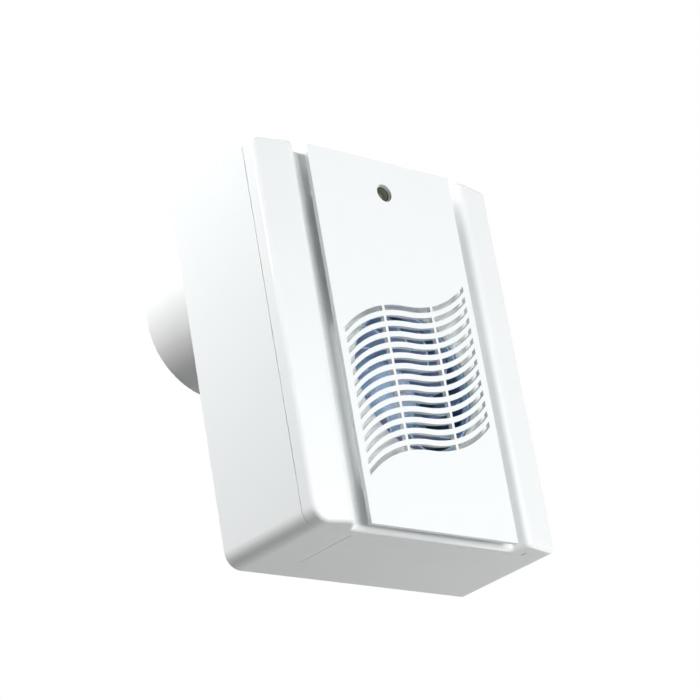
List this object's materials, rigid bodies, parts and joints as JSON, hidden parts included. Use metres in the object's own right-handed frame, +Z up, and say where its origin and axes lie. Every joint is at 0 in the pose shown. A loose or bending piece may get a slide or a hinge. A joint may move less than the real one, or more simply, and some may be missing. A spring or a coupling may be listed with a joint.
{
  "type": "bathroom extractor fan",
  "caption": "Wall-mounted extractor fan: deep box housing, cover with a sunken channel, floating panel with wave slots and a sensor, centrifugal impeller, round rear spigot with shutter.",
  "frame": {"origin": "centre of the housing's back face, which lies on the wall", "axes": "+X to the right seen from the room, +Y into the wall and along the duct, +Z up"},
  "size_m": [0.206, 0.1485, 0.262],
  "materials": {
    "white_plastic": "satin gloss",
    "zinc_steel": "bright zinc",
    "sensor_dark": "gloss",
    "grey_plastic": "fine matt",
    "spigot_plastic": "gloss",
    "foam_rubber": "matt",
    "steel": "polished",
    "flap_plastic": "matt",
    "bronze": "oiled",
    "stator_steel": "laminated",
    "copper": "varnished wire",
    "blue_plastic": "gloss",
    "board_green": "solder resist",
    "transformer_dark": "taped coil",
    "relay_plastic": "gloss",
    "capacitor_plastic": "gloss",
    "dial_plastic": "matt",
    "trimmer_blue": "gloss",
    "terminal_plastic": "matt"
  },
  "bodies": {
    "housing": {"rear_housing": "white_plastic", "front_cover": "white_plastic", "louvre_panel": "white_plastic", "panel_screws": "zinc_steel", "sensor_lens": "sensor_dark", "sensor_holder": "grey_plastic", "duct_spigot": "spigot_plastic", "spigot_seal": "foam_rubber", "shutter_pin": "steel", "shutter_spring": "steel", "scroll_casing": "blue_plastic", "scroll_cover": "blue_plastic", "scroll_screws": "zinc_steel", "casing_screws": "zinc_steel", "rubber_mounts": "foam_rubber", "motor_rear_bell": "zinc_steel", "motor_front_bell": "zinc_steel", "rear_bush": "bronze", "front_bush": "bronze", "motor_stator": "stator_steel", "motor_windings": "copper", "motor_screws": "zinc_steel", "control_board": "board_green", "board_screws": "zinc_steel", "transformer": "transformer_dark", "relay": "relay_plastic", "capacitor": "capacitor_plastic", "trimmer_bases": "trimmer_blue", "terminal_block": "terminal_plastic", "terminal_screws": "zinc_steel", "cable_grommet": "foam_rubber"},
    "impeller": {"impeller": "blue_plastic", "impeller_clip": "steel", "motor_shaft": "steel", "motor_rotor": "stator_steel"},
    "left_flap": {"shutter_flap_left": "flap_plastic"},
    "right_flap": {"shutter_flap_right": "flap_plastic"},
    "timer_dial": {"timer_dial": "dial_plastic"},
    "humidity_dial": {"humidity_dial": "dial_plastic"}
  },
  "joints": [
    {"name": "impeller_spin", "type": "hinge", "parent": "housing", "child": "impeller", "pos_m": [0.0085, -0.05, -0.0208], "axis": [0, 1, 0], "continuous": true},
    {"name": "left_flap_hinge", "type": "hinge", "parent": "housing", "child": "left_flap", "pos_m": [-0.041, 0.008, 0.064], "axis": [0, 0, -1], "range_deg": [0, 80], "stiffness_Nm_per_rad": 0.0005, "springref_deg": -20.05, "deforming": ["shutter_spring"]},
    {"name": "right_flap_hinge", "type": "hinge", "parent": "housing", "child": "right_flap", "pos_m": [-0.041, 0.008, 0.064], "axis": [0, 0, 1], "range_deg": [0, 80], "stiffness_Nm_per_rad": 0.0005, "springref_deg": -20.05, "deforming": ["shutter_spring"]},
    {"name": "timer_dial_turn", "type": "hinge", "parent": "housing", "child": "timer_dial", "pos_m": [0.0406, -0.02, 0.0748], "axis": [0, 1, 0], "range_deg": [-130, 130]},
    {"name": "humidity_dial_turn", "type": "hinge", "parent": "housing", "child": "humidity_dial", "pos_m": [0.0523, -0.02, 0.0748], "axis": [0, 1, 0], "range_deg": [-130, 130]}
  ]
}
